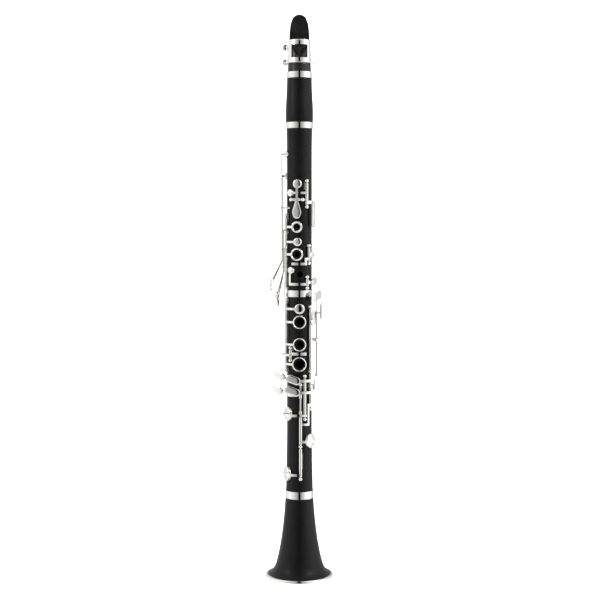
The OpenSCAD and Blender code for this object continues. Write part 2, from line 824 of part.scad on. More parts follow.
side_pad_seat = 13.5;
side_cup_r = 4;
function side_pad_angle(side) = asin(side[5] / (side_pad_seat + 2 * cup_lip + 1.3));
function side_pad_spec(side) =
    [side_phi + side_pad_angle(side), side[1], side_pad_seat, side_cup_r];

module side_seat_cut(side) seat_cut(side_pad_spec(side), 2.2);

// A side key: touch plate, lever with its pivot eye, pad cup and pad
module side_key(index) {
    side = side_specs[index];
    run = side[4] - lever_r - 0.6;
    spec = side_pad_spec(side);
    crown = cup_top(spec) * cos(side_pad_angle(side));
    flare_top = min(flare_z, side[2] - 4);
    color(silver) difference() {
        union() {
            rotate([0, 0, side_phi]) {
                translate([side[0] - lever_width / 2, -lever_r - lever_thick, flare_top])
                    cube([lever_width, lever_thick, side[1] - flare_top + 1.2]);
                // Flared part, out to the touch
                translate([side[0], -lever_r, flare_top])
                    rotate([-atan2(run, flare_top - side[3]), 0, 0])
                        translate([-lever_width / 2, -lever_thick, -norm([run, flare_top - side[3]])])
                            cube([lever_width, lever_thick, norm([run, flare_top - side[3]])]);
                // Link across to the pad
                translate([min(side[0], side[5]) - 1.2, -lever_r - lever_thick, side[1] - 1.2])
                    cube([abs(side[0] - side[5]) + 2.4, lever_thick, 2.4]);
                translate([side[5] - 1.2, -lever_r - 0.4, side[1] - 1.1])
                    cube([2.4, lever_r + 1.1 - crown, 2.2]);
                // Touch plate
                translate([side[6], -side[4], side[3]]) rotate([0, 0, 38]) rotate([90, 0, 0])
                    rotate([0, 0, 90]) translate([0, 0, -0.6]) oval(9.6, 5.8, 1.6);
            }
            cup(spec);
            across(side_phi, side[2], lever_pivot_r, side[0], tube_r, 2.9);
        }
        across(side_phi, side[2], lever_pivot_r, side[0], rod_r + run_gap, 8);
    }
    pad(spec);
}

module side_key_1() side_key(0);
module side_key_2() side_key(1);
module side_key_3() side_key(2);
module side_key_4() side_key(3);

// ---------- barrel ----------

barrel_ring_height = 7;
function barrel_out(z) = 14.3 + 1.7 * exp(-pow((z - 541) / 24, 2));
barrel_steps = 12;
barrel_low = upper_top + barrel_ring_height;
barrel_high = barrel_top - barrel_ring_height;
function barrel_z(i) = barrel_low + (barrel_high - barrel_low) * i / barrel_steps;

module barrel() {
    color(black) rotate_extrude() polygon(concat(
        [[socket_r, upper_top], [14, upper_top], [14, barrel_low]],
        [for (i = [0 : barrel_steps]) [barrel_out(barrel_z(i)), barrel_z(i)]],
        [
            [13.4, barrel_high], [13.4, barrel_top], [socket_r, barrel_top],
            [socket_r, barrel_top - socket_depth], [bore_r, barrel_top - socket_depth],
            [bore_r, upper_top + socket_depth], [socket_r, upper_top + socket_depth]
        ]
    ));
}

module barrel_rings() {
    color(silver) rotate_extrude() {
        translate([14 + tiny, upper_top + tiny]) square([1.85, barrel_ring_height - 2 * tiny]);
        translate([13.4 + tiny, barrel_high + tiny]) square([1.3, barrel_ring_height - 2 * tiny]);
    }
}

// ---------- mouthpiece ----------

shank_r = 13.6;
table_y = 8.4;
window_low = tip_z - 36;

baffle_thick = 1.9;

// Places a shape that far behind the beak's slope
module beak_side(depth)
    translate([-20, 6.4, tip_z + 0.4]) rotate([-21, 0, 0]) translate([0, depth, -90]) children();

module mouthpiece() {
    color(black) difference() {
        intersection() {
            rotate_extrude() polygon([
                [0, barrel_top - tenon_len], [tenon_wall_r, barrel_top - tenon_len],
                [tenon_wall_r, barrel_top], [shank_r, barrel_top + tiny], [shank_r - 0.3, 597],
                [12.9, 599], [11.7, 630], [11.4, 645], [11, tip_z], [0, tip_z]
            ]);
            // Outline from the front, with the rounded tip
            translate([0, 20, 0]) rotate([90, 0, 0]) linear_extrude(40) union() {
                translate([-15, 560]) square([30, 70]);
                polygon([[-11.9, 629], [11.9, 629], [10.4, 644.5], [7.4, 652.5], [-7.4, 652.5],
                    [-10.4, 644.5]]);
                intersection() {
                    translate([0, 646.5]) circle(r = 9.5);
                    translate([-8.4, 640]) square([16.8, 16]);
                }
            }
        }
        // Beak, cut sloping from the front down to the tip
        beak_side(-60) cube([40, 60, 110]);
        // Table for the reed
        translate([-20, table_y, barrel_top + 1.6]) cube([40, 20, 80]);
        // Bore, chamber and window
        translate([0, 0, barrel_top - tenon_len - 1]) cylinder(r = bore_r, h = 40);
        intersection() {
            union() {
                translate([-4.4, -1.6, window_low - 16]) cube([8.8, 8, 44]);
                translate([-4.4, 0, window_low]) cube([8.8, 20, 31]);
            }
            beak_side(baffle_thick) cube([40, 60, 110]);
        }
    }
}

module mouthpiece_cork()
    color(cork) cork_sleeve(barrel_top - tenon_len + 2, barrel_top - 2, cork_r);

reed_low = barrel_top + 2.4;
reed_thick = 3;

module reed() {
    color(cane) intersection() {
        translate([-6.4, table_y + tiny, reed_low]) cube([12.8, reed_thick, tip_z - reed_low - 0.4]);
        translate([0, 0, reed_low]) cylinder(r = 11.6, h = tip_z - reed_low);
        union() {
            translate([0, 0, reed_low]) cylinder(r = 11.6, h = 32);
            // Vamp, thinned towards the tip
            translate([-7, table_y + 0.25, tip_z - 0.4]) rotate([5.2, 0, 0])
                translate([0, -10, -34.6]) cube([14, 10, 36]);
        }
    }
}

lig_low = 599.6;
lig_high = 625.2;
function mouth_r(z) = 12.9 - (z - 599) * 1.2 / 31;

// Ligature: a sleeve with a large window in front and two ears behind for its screws
module ligature() {
    wall = 0.9;
    height = lig_high - lig_low;
    color(silver) difference() {
        union() {
            translate([0, 0, lig_low])
                cylinder(r1 = mouth_r(lig_low) + wall, r2 = mouth_r(lig_high) + wall, h = height);
            for (z = [602, 619]) translate([-6.5, 12.2, z - 2.6]) cube([13, 4.6, 5.2]);
        }
        translate([0, 0, lig_low - 1])
            cylinder(r1 = mouth_r(lig_low - 1) + tiny, r2 = mouth_r(lig_high + 1) + tiny, h = height + 2);
        translate([-9.2, -20, 605]) cube([18.4, 20, 15]);
        for (z = [602, 619]) translate([-9, 15, z]) rotate([0, 90, 0]) cylinder(r = 1.25, h = 18);
        translate([-0.7, 12.6, lig_low - 1]) cube([1.4, 8, height + 2]);
    }
}

module ligature_screw(z) {
    color(silver) translate([0, 15, z]) rotate([0, 90, 0]) {
        translate([0, 0, -12]) cylinder(r = 1.2, h = 20);
        translate([0, 0, -19]) cylinder(r = 4, h = 4);
        translate([0, 0, -15]) cylinder(r = 2, h = 5);
    }
}

module ligature_screw_upper() ligature_screw(619);
module ligature_screw_lower() ligature_screw(602);

// ---------- pads ----------

module right_hand_ring_pad() swing(ring_phi, -ring_open) pad(right_spec);
module b_pad() pad(b_spec);
module a_flat_pad() pad(ab_spec);
module f_sharp_pad() swing(fs_phi, pad_open) pad(fs_spec);
module f_pad() swing(long_phi, -pad_open) pad(f_spec);
module e_pad() swing(long_phi, pad_open) pad(e_spec);
module thumb_ring_pad() swing(thumb_phi, ring_open) pad(thumb_spec);
module second_ring_pad() swing(ring_phi, -ring_open) pad(second_spec);
module a_pad() pad(a_spec);
module g_sharp_pad() pad(g_spec);
module register_pad() pad(register_spec);
module e_flat_pad() pad(sliver_spec);
module c_sharp_pad() pad(c_spec);

// ---------- nodes ----------

bell();
bell_rim_ring();
bell_socket_ring();
lower_joint();
lower_joint_cork();
lower_joint_ring();
lower_posts();
lower_hinge_rods();
lower_springs();
thumb_rest();
thumb_rest_screws();
right_hand_ring_key();
right_hand_ring_pad();
b_sliver_key();
b_pad();
left_e_lever();
left_f_sharp_lever();
left_f_lever();
a_flat_key();
a_flat_pad();
f_sharp_key();
f_sharp_pad();
f_touch_key();
f_key();
f_pad();
e_key();
e_pad();
upper_joint();
upper_joint_corks();
upper_vent_tubes();
upper_posts();
upper_hinge_rods();
upper_springs();
first_ring_key();
thumb_ring_key();
thumb_ring_pad();
second_ring_key();
second_ring_pad();
a_key();
a_pad();
g_sharp_key();
g_sharp_pad();
register_key();
register_pad();
e_flat_sliver_key();
e_flat_pad();
c_sharp_key();
c_sharp_pad();
side_key_1();
side_key_2();
side_key_3();
side_key_4();
barrel();
barrel_rings();
mouthpiece();
mouthpiece_cork();
reed();
ligature();
ligature_screw_upper();
ligature_screw_lower();
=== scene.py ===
# %% [markdown]
# # A soprano clarinet in B flat
# This lesson dresses an exact clarinet frame in its finishes and adds the small turned, stamped
# and filed details that a maker adds by hand. The frame holds every tube, key and post in its
# true place and size, in metres, so nothing here is scaled or moved.

# %% The frame
import json
import math

import bmesh
import bpy
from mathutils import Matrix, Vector

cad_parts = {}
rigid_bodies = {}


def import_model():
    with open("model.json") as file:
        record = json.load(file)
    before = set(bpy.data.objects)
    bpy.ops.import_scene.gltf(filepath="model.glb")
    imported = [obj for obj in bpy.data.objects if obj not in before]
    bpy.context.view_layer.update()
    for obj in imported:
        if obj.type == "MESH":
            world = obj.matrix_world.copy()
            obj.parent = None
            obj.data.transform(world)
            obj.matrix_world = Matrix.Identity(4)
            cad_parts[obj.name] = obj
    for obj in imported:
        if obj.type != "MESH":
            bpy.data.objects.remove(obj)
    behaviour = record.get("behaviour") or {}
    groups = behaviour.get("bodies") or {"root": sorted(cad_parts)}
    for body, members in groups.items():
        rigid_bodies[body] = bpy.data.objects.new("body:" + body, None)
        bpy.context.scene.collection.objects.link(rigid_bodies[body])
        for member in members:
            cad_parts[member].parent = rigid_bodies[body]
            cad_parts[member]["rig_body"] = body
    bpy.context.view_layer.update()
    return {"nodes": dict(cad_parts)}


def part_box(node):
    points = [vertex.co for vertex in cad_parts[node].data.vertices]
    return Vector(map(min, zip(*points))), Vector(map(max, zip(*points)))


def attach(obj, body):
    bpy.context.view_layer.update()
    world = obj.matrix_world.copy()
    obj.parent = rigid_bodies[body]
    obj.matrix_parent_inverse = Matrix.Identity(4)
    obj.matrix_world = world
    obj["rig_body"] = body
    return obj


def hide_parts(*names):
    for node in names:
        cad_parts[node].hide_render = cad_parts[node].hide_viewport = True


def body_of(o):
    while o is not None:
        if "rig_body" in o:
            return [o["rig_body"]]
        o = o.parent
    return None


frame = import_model()
nodes = frame["nodes"]
MM = 0.001

# %% [markdown]
# ## Camera
# The instrument stands upright and is seen from the front, a little below its middle and a pace
# and a half away, through a long lens that keeps its sides parallel. The camera is made first,
# so every look can be judged through it.

# %% Camera
CAMERA_PLACE = (0.0007, -1.560, 0.4249)
CAMERA_DIP = 3.63

camera_data = bpy.data.cameras.new("camera")
camera_data.lens = 80.4
camera_data.sensor_width = 36
camera = bpy.data.objects.new("camera", camera_data)
camera.location = CAMERA_PLACE
camera.rotation_euler = (math.radians(90 - CAMERA_DIP), 0, 0)
bpy.context.scene.collection.objects.link(camera)
bpy.context.scene.camera = camera
print("camera", CAMERA_PLACE, "lens", camera_data.lens)

# %% [markdown]
# ## Building materials
# Every finish here is a small tree of nodes: a noise drives the colour, the roughness and a
# fine bump. One helper makes the tree's skeleton, and each finish then says only what is its
# own. Values that are the same all over a piece are set on the shader's own sockets.


# %% Material helper
def new_finish(name, roughness, metallic=0.0, **sockets):
    """A material with a principled shader. Returns the material, its nodes' adder and its shader."""
    material = bpy.data.materials.new(name)
    material.use_nodes = True
    tree = material.node_tree
    shader = tree.nodes["Principled BSDF"]
    shader.inputs["Roughness"].default_value = roughness
    shader.inputs["Metallic"].default_value = metallic
    for socket, value in sockets.items():
        shader.inputs[socket.replace("_", " ")].default_value = value
    return material, tree, shader


def place_noise(tree, scale, stretch=(1, 1, 1), detail=3.0, rough=0.55):
    """A noise in object space, stretched along the axes."""
    where = tree.nodes.new("ShaderNodeTexCoord")
    mapping = tree.nodes.new("ShaderNodeMapping")
    mapping.inputs["Scale"].default_value = stretch
    noise = tree.nodes.new("ShaderNodeTexNoise")
    noise.inputs["Scale"].default_value = scale
    noise.inputs["Detail"].default_value = detail
    noise.inputs["Roughness"].default_value = rough
    tree.links.new(where.outputs["Object"], mapping.inputs["Vector"])
    tree.links.new(mapping.outputs["Vector"], noise.inputs["Vector"])
    return noise.outputs["Fac"]


def ramp(tree, source, stops):
    """A colour ramp. Each stop is (place, (r, g, b))."""
    node = tree.nodes.new("ShaderNodeValToRGB")
    while len(node.color_ramp.elements) < len(stops):
        node.color_ramp.elements.new(0.5)
    for element, (place, colour) in zip(node.color_ramp.elements, stops):
        element.position = place
        element.color = (*colour, 1)
    tree.links.new(source, node.inputs["Fac"])
    return node.outputs["Color"]


def spread(tree, source, low, high, start=0.3, end=0.7):
    """Maps a noise's middle range onto low to high."""
    node = tree.nodes.new("ShaderNodeMapRange")
    node.inputs["From Min"].default_value = start
    node.inputs["From Max"].default_value = end
    node.inputs["To Min"].default_value = low
    node.inputs["To Max"].default_value = high
    tree.links.new(source, node.inputs["Value"])
    return node.outputs["Result"]


def bump(tree, shader, source, height, before=None):
    """A bump of that height in metres, on top of another bump if there is one."""
    node = tree.nodes.new("ShaderNodeBump")
    node.inputs["Strength"].default_value = 1.0
    node.inputs["Distance"].default_value = height
    tree.links.new(source, node.inputs["Height"])
    if before:
        tree.links.new(before, node.inputs["Normal"])
    tree.links.new(node.outputs["Normal"], shader.inputs["Normal"])
    return node.outputs["Normal"]


print("material helpers ready")

# %% [markdown]
# ## Black body
# The joints, barrel and bell are turned from a dense black material and brushed with fine
# abrasive, which leaves a satin skin with faint marks along the bore and a few darker pores.
# A noise drawn out twenty times along Z gives the marks, and a broad one gives the handling
# polish that comes and goes.

# %% Black body


def make_black_body():
    material, tree, shader = new_finish("black_body", 0.34, Specular_IOR_Level=0.2)
    brushed = place_noise(tree, 900, (1, 1, 0.045), detail=4)
    pores = place_noise(tree, 2600, (1, 1, 0.09), detail=2)
    handled = place_noise(tree, 22, detail=2)
    tone = ramp(tree, brushed, [(0.3, (0.0016, 0.0016, 0.0018)), (0.72, (0.0028, 0.0027, 0.0026))])
    tree.links.new(tone, shader.inputs["Base Color"])
    mix = tree.nodes.new("ShaderNodeMath")
    mix.operation = "ADD"
    tree.links.new(spread(tree, brushed, 0.32, 0.37), mix.inputs[0])
    tree.links.new(spread(tree, handled, -0.02, 0.03), mix.inputs[1])
    tree.links.new(mix.outputs[0], shader.inputs["Roughness"])
    first = bump(tree, shader, brushed, 0.0000018)
    bump(tree, shader, pores, 0.000001, first)
    return material


black_body = make_black_body()
print(black_body.name, len(black_body.node_tree.nodes), "nodes")

# %% [markdown]
# ## Mouthpiece rubber
# Hard rubber is pressed, filed and polished to a gloss, so it reflects more sharply than the
# body. It keeps faint polishing swirls and dulls a little where lips and fingers touch it.

# %% Mouthpiece rubber


def make_mouthpiece_rubber():
    material, tree, shader = new_finish("black_mouthpiece", 0.14, Specular_IOR_Level=0.36)
    swirl = place_noise(tree, 420, (1, 1, 0.4), detail=3)
    touched = place_noise(tree, 60, detail=2)
    tone = ramp(tree, swirl, [(0.3, (0.005, 0.005, 0.0055)), (0.7, (0.010, 0.0098, 0.010))])
    tree.links.new(tone, shader.inputs["Base Color"])
    tree.links.new(spread(tree, touched, 0.1, 0.24), shader.inputs["Roughness"])
    bump(tree, shader, swirl, 0.000004)
    return material


mouthpiece_rubber = make_mouthpiece_rubber()
print(mouthpiece_rubber.name, len(mouthpiece_rubber.node_tree.nodes), "nodes")

# %% [markdown]
# ## Silver plate and steel
# Keys and rings are cast or drawn in nickel silver, buffed and plated. Fresh plate is bright
# and almost white, with hair scratches, a soft unevenness from the buffing wheel, and a warm
# tarnish that starts in patches. The hinge rods are bare steel: darker, warmer, less sharp.

# %% Silver plate and steel


def make_metal(name, bright, dull, low, high, scratch):
    material, tree, shader = new_finish(name, low, metallic=1.0)
    buffed = place_noise(tree, 140, detail=3)
    hair = place_noise(tree, 2200, (1, 0.12, 1), detail=2)
    patch = place_noise(tree, 36, detail=4, rough=0.6)
    tone = ramp(tree, patch, [(0.34, dull), (0.6, bright)])
    tree.links.new(tone, shader.inputs["Base Color"])
    mix = tree.nodes.new("ShaderNodeMath")
    mix.operation = "ADD"
    tree.links.new(spread(tree, buffed, low, high), mix.inputs[0])
    tree.links.new(spread(tree, hair, -0.015, 0.03), mix.inputs[1])
    tree.links.new(mix.outputs[0], shader.inputs["Roughness"])
    first = bump(tree, shader, buffed, scratch * 4)
    bump(tree, shader, hair, scratch, first)
    return material


silver_plate = make_metal(
    "silver_plate", (0.90, 0.885, 0.86), (0.83, 0.81, 0.77), 0.06, 0.13, 0.0000012
)
rod_steel = make_metal("steel", (0.72, 0.69, 0.655), (0.60, 0.56, 0.52), 0.18, 0.3, 0.000002)
print(silver_plate.name, rod_steel.name)

# %% [markdown]
# ## Cork, pad skin and cane
# Tenon cork is cut in thin sheet and shows its dark pores. Pads are card and felt under a
# drum-tight skin the colour of parchment. Cane is a grass: straight golden fibres with
# darker flecks, so its noise is drawn out along the reed.

# %% Cork, pad skin and cane


def make_cork():
    material, tree, shader = new_finish("cork", 0.85)
    grain = place_noise(tree, 700, detail=5)
    tone = ramp(
        tree,
        grain,
        [(0.3, (0.16, 0.075, 0.03)), (0.42, (0.46, 0.27, 0.13)), (0.7, (0.62, 0.41, 0.22))],
    )
    tree.links.new(tone, shader.inputs["Base Color"])
    tree.links.new(spread(tree, grain, 0.95, 0.75), shader.inputs["Roughness"])
    bump(tree, shader, grain, 0.00008)
    return material


def make_pad_skin():
    material, tree, shader = new_finish("pad_skin", 0.5, Subsurface_Weight=0.05)
    wrinkle = place_noise(tree, 520, (1, 1, 0.5), detail=4)
    tone = ramp(tree, wrinkle, [(0.3, (0.62, 0.50, 0.34)), (0.7, (0.83, 0.75, 0.60))])
    tree.links.new(tone, shader.inputs["Base Color"])
    tree.links.new(spread(tree, wrinkle, 0.38, 0.6), shader.inputs["Roughness"])
    bump(tree, shader, wrinkle, 0.00003)
    return material


def make_cane():
    material, tree, shader = new_finish("cane", 0.5, Sheen_Weight=0.05)
    fibre = place_noise(tree, 2400, (1, 1, 0.02), detail=3)
    fleck = place_noise(tree, 300, (1, 1, 0.2), detail=3)
    tone = ramp(
        tree,
        fibre,
        [(0.3, (0.50, 0.32, 0.11)), (0.55, (0.76, 0.58, 0.28)), (0.75, (0.86, 0.70, 0.40))],
    )
    tree.links.new(tone, shader.inputs["Base Color"])
    tree.links.new(spread(tree, fleck, 0.4, 0.62), shader.inputs["Roughness"])
    bump(tree, shader, fibre, 0.00002)
    return material


cork = make_cork()
pad_skin = make_pad_skin()
cane = make_cane()
print(cork.name, pad_skin.name, cane.name)

# %% [markdown]
# ## Dressing the frame
# Each node already names its slot in the record, so the finish goes on by that name. Real
# edges are never sharp: a file and a buffing wheel round them, and the thin bright line they
# catch is what makes metal read as metal. A bevel modifier rounds them without touching the
# exact mesh below.

# %% Dressing the frame
FINISHES = {
    "black_body": black_body,
    "black_mouthpiece": mouthpiece_rubber,
    "silver_plate": silver_plate,
    "steel": rod_steel,
    "cork": cork,
    "pad_skin": pad_skin,
    "cane": cane,
}
EDGE_WIDTH = {"black_body": 0.22, "black_mouthpiece": 0.3, "silver_plate": 0.2, "pad_skin": 0.35}


def soften_edges(piece, width_mm, segments=2):
    bevel = piece.modifiers.new("filed edges", "BEVEL")
    bevel.width = width_mm * MM
    bevel.segments = segments
    bevel.limit_method = "ANGLE"
    bevel.angle_limit = math.radians(38)
    bevel.harden_normals = True


slot_names = {m.name.split(".")[0] for m in bpy.data.materials}
dressed = 0
for name, node in nodes.items():
    for place in node.material_slots:
        slot = place.material.name.split(".")[0]
        place.material = FINISHES[slot]
        dressed += 1
        if slot in EDGE_WIDTH:
            soften_edges(node, EDGE_WIDTH[slot])
print("dressed", dressed, "slots; names", sorted(slot_names))

# %% [markdown]
# ## Finding the flat faces
# Much of the hand work sits on the flat faces of the keys. A flat face is found by starting
# from one small face and walking to every neighbour that looks the same way. Its border then
# gives the exact outline to build on, already tilted as the key is.


# %% Flat faces
def border_loops(faces):
    """The borders of a patch of faces, each as points in order."""
    inside = set(faces)
    steps = {}
    for face in faces:
        for corner in face.loops:
            across = [other for other in corner.edge.link_faces if other is not face]
            if not any(other in inside for other in across):
                steps[corner.vert] = corner.link_loop_next.vert
    loops = []
    while steps:
        vert = next(iter(steps))
        loop = []
        while vert in steps:
            loop.append(vert.co.copy())
            vert = steps.pop(vert)
        loops.append(loop)
    return loops


def flat_faces(node_name):
    """Every flat patch of a node that looks away from the bore, as (area, normal, borders)."""
    shape = bmesh.new()
    shape.from_mesh(nodes[node_name].data)
    bmesh.ops.remove_doubles(shape, verts=shape.verts, dist=1e-6)
    found = []
    seen = set()
    for first in shape.faces:
        if first in seen or first.calc_area() < 1e-10:
            continue
        patch, queue = [], [first]
        seen.add(first)
        while queue:
            face = queue.pop()
            patch.append(face)
            for edge in face.edges:
                for other in edge.link_faces:
                    if other not in seen and other.normal.dot(first.normal) > 0.99999:
                        seen.add(other)
                        queue.append(other)
        middle = sum((face.calc_center_median() for face in patch), Vector()) / len(patch)
        middle.z = 0
        if first.normal.dot(middle.normalized()) > 0.6:
            area = sum(face.calc_area() for face in patch)
            found.append((area, first.normal.copy(), border_loops(patch)))
    shape.free()
    return found


def loop_length(loop):
    return sum((b - a).length for a, b in zip(loop, loop[1:] + loop[:1]))


print(len(flat_faces("first_ring_key")), "flat faces on the first ring key")

# %% [markdown]
# ## Half-round finger rings
# A finger ring is bent from half-round wire, so its top is a smooth swell that a finger slides
# over. The frame's rings are flat. Each one is found as the flat face with a round hole, and
# a half-round crown of the same width is laid on it.


# %% Finger rings
def skin(name, loops, finish, like, ring=False):
    """Joins loops of points into a closed, smooth piece that moves with the node it is like."""
    shape = bmesh.new()
    rows = [[shape.verts.new(point) for point in loop] for loop in loops]
    pairs = list(zip(rows, rows[1:]))
    if ring:
        pairs.append((rows[-1], rows[0]))
    for low, high in pairs:
        for i in range(len(low)):
            j = (i + 1) % len(low)
            shape.faces.new((low[i], low[j], high[j], high[i]))
    if not ring:
        shape.faces.new(rows[0][::-1])
        shape.faces.new(rows[-1])
    bmesh.ops.recalc_face_normals(shape, faces=shape.faces)
    for face in shape.faces:
        face.smooth = True
    mesh = bpy.data.meshes.new(name)
    shape.to_mesh(mesh)
    shape.free()
    mesh.materials.append(FINISHES[finish])
    piece = bpy.data.objects.new(name, mesh)
    bpy.context.scene.collection.objects.link(piece)
    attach(piece, body_of(nodes[like])[0])
    return piece


def turned(centre, axis, profile, steps=64):
    """Loops of a shape turned about an axis. The profile is (radius, height), both in mm."""
    side = axis.orthogonal().normalized()
    other = axis.cross(side)
    turn = math.tau / steps
    return [
        [
            centre
            + (side * math.cos(turn * i) + other * math.sin(turn * i)) * (radius * MM)
            + axis * (height * MM)
            for i in range(steps)
        ]
        for radius, height in profile
    ]


RING_RISE = 0.62
crowned = 0
for key in ("first_ring_key", "second_ring_key", "thumb_ring_key", "right_hand_ring_key"):
    for _, normal, borders in flat_faces(key):
        if len(borders) != 2:
            continue
        hole, edge = sorted(borders, key=loop_length)
        centre = sum(hole, Vector()) / len(hole)
        inner = sum((point - centre).length for point in hole) / len(hole) / MM
        outer = max((point - centre).length for point in edge) / MM
        middle, half = (inner + outer) / 2, (outer - inner) / 2 - 0.02
        profile = [(middle - half, -0.2)]
        for step in range(13):
            angle = math.pi * step / 12
            lift = RING_RISE * (1 - abs(math.cos(angle)) ** 1.4)
            profile.append((middle - half * math.cos(angle), lift))
        profile.append((middle + half, -0.2))
        crowned += 1
        skin(f"ring_crown_{crowned}", turned(centre, normal, profile, 96), "silver_plate", key, True)
print("crowned", crowned, "finger rings")

# %% [markdown]
# ## Crowned touches
# The touches are stamped, then filed and buffed until no flat is left: a finger feels a low
# pillow, and the light runs over it in one smooth band. Each touch is found as its key's
# largest compact flat face, and shrinking copies of its outline are stacked into a crown.


# %% Touches
def even_points(loop, count=72):
    """The same outline with evenly spaced points."""
    closed = loop + loop[:1]
    step = loop_length(loop) / count
    points, left = [], 0.0
    for a, b in zip(closed, closed[1:]):
        length = (b - a).length
        while left < length:
            points.append(a.lerp(b, left / length))
            left += step
        left -= length
    return points[:count]


def touch_of(key):
    """The outline and normal of a key's touch."""
    best = None
    for area, normal, borders in flat_faces(key):
        border = max(borders, key=loop_length)
        compact = 4 * math.pi * area / loop_length(border) ** 2
        if compact > 0.4 and (best is None or area > best[0]):
            best = (area, normal, border)
    return best


CROWN = [
    (0.985, -0.15), (0.985, 0.05), (0.95, 0.36), (0.86, 0.62), (0.72, 0.8), (0.5, 0.93), (0.2, 1.0),
]
TOUCH_RISE = {
    "a_flat_key": 0.9, "f_touch_key": 0.9, "f_sharp_key": 0.9, "e_key": 0.9,
    "left_e_lever": 0.9, "left_f_sharp_lever": 0.8, "left_f_lever": 0.7,
    "g_sharp_key": 0.7, "c_sharp_key": 0.7, "register_key": 0.6, "a_key": 0.8,
    "side_key_1": 0.5, "side_key_2": 0.5, "side_key_3": 0.5, "side_key_4": 0.5,
}
for key, rise in TOUCH_RISE.items():
    area, normal, border = touch_of(key)
    outline = even_points(border)
    centre = sum(outline, Vector()) / len(outline)
    loops = [
        [centre + (point - centre) * scale + normal * (lift * rise * MM) for point in outline]
        for scale, lift in CROWN
    ]
    skin(f"touch_{key}", loops, "silver_plate", key)
    print(key, "touch", round(area / MM**2, 1), "mm2")

# %% [markdown]
# ## Domed pad cups
# A pad cup is pressed in a die, which rolls a small bead round its lip and leaves a smooth dome.
# The pad below gives the cup's place and slant: its middle, its flat side's direction and its
# radius are measured from the pad's mesh, and the dome is turned about that line.

# %% Pad cups
PADS = {
    "a_pad": "a_key", "g_sharp_pad": "g_sharp_key", "thumb_ring_pad": "thumb_ring_key",
    "second_ring_pad": "second_ring_key", "register_pad": "register_key",
    "e_flat_pad": "e_flat_sliver_key", "c_sharp_pad": "c_sharp_key",
    "right_hand_ring_pad": "right_hand_ring_key", "b_pad": "b_sliver_key",
    "f_sharp_pad": "f_sharp_key", "f_pad": "f_key", "e_pad": "e_key", "a_flat_pad": "a_flat_key",
}
CUP_WALL = 0.55
for pad, key in PADS.items():
    _, axis, borders = max(flat_faces(pad), key=lambda found: found[0])
    rim = borders[0]
    top = sum(rim, Vector()) / len(rim)
    radius = max((point - top).length for point in rim) / MM + CUP_WALL
    profile = [
        (radius * 0.5, -0.5), (radius - 0.05, -0.95), (radius + 0.08, -0.9), (radius + 0.15, -0.68),
        (radius + 0.08, -0.46), (radius - 0.01, -0.36), (radius, 0.0), (radius * 0.97, 0.42),
        (radius * 0.9, 0.8), (radius * 0.78, 1.1), (radius * 0.6, 1.34), (radius * 0.4, 1.47),
        (radius * 0.2, 1.53), (radius * 0.05, 1.55),
    ]
    skin(f"cup_dome_{pad}", turned(top, axis, profile, 72), "silver_plate", key)
print(len(PADS), "cup domes")

# %% [markdown]
# ## Ligature beads and thumb screws
# The ligature is a band of sheet with both edges rolled over, open in a narrow slot at the
# reed. Two screws draw it tight. Their heads are flat coins, so that finger and thumb can turn
# them, on a neck with a small collar. The band's own rings of points give the beads' radii.


# %% Ligature
def band_radius(height):
    """The ligature's outer radius at one of its edges."""
    near = [v.co for v in nodes["ligature"].data.vertices if abs(v.co.z - height) < 0.05 * MM]
    return max(Vector((point.x, point.y)).length for point in near)


def edge_bead(name, height, thick):
    """A round bead along an edge of the band, open at the slot behind."""
    radius = band_radius(height)
    gap = 1.5 * MM / radius
    steps = 120
    loops = []
    for i in range(steps + 1):
        turn = math.pi / 2 + gap + (math.tau - 2 * gap) * i / steps
        outward = Vector((math.cos(turn), math.sin(turn), 0))
        middle = outward * radius + Vector((0, 0, height))
        loops.append(
            [
                middle
                + outward * (thick * math.cos(math.tau * k / 12))
                + Vector((0, 0, thick * math.sin(math.tau * k / 12)))
                for k in range(12)
            ]
        )
    return skin(name, loops, "silver_plate", "ligature")


band_low, band_high = (corner.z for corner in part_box("ligature"))
edge_bead("ligature_bead_low", band_low, 0.6 * MM)
edge_bead("ligature_bead_high", band_high, 0.55 * MM)

COIN_HALF = 3.9 * MM
COIN_INSET = 2.5 * MM
COIN_FACE = [(0.1, 1.5), (0.4, 1.36), (0.65, 1.12), (0.85, 0.84), (0.95, 0.62), (1.0, 0.35)]
coin_profile = [(scale, -lift) for scale, lift in COIN_FACE] + COIN_FACE[::-1]
for screw in ("ligature_screw_upper", "ligature_screw_lower"):
    low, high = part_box(screw)
    middle = (low + high) / 2
    coin = Vector((low.x + COIN_INSET, middle.y, middle.z))
    loops = [
        [
            coin
            + Vector((
                COIN_HALF * scale * math.cos(math.tau * k / 64),
                depth * MM,
                (high.z - low.z) / 2 * scale * math.sin(math.tau * k / 64),
            ))
            for k in range(64)
        ]
        for scale, depth in coin_profile
    ]
    head = skin(f"{screw}_coin", loops, "silver_plate", screw)
    start = Vector((low.x, middle.y, middle.z))
    length = (high.x - low.x) / MM
    stem = [
        (0.5, 7.2), (1.5, 7.3), (1.7, 7.7), (1.5, 8.1), (1.9, 8.4), (2.1, 8.9), (1.9, 9.4),
        (1.2, 9.6), (1.2, length - 0.5), (0.9, length - 0.1), (0.3, length),
    ]
    skin(f"{screw}_stem", turned(start, Vector((1, 0, 0)), stem, 40), "silver_plate", screw)
    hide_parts(screw)
    print(screw, "coin", round((high.z - low.z) / MM, 1), "mm tall")

# %% [markdown]
# ## Reed
# A reed is split from cane, planed flat on its back and cut to a long slope, the vamp, that
# thins to a hair at a rounded tip. Slices along its length, each with its own width and
# thickness, are joined into one smooth piece in place of the frame's plain wedge.

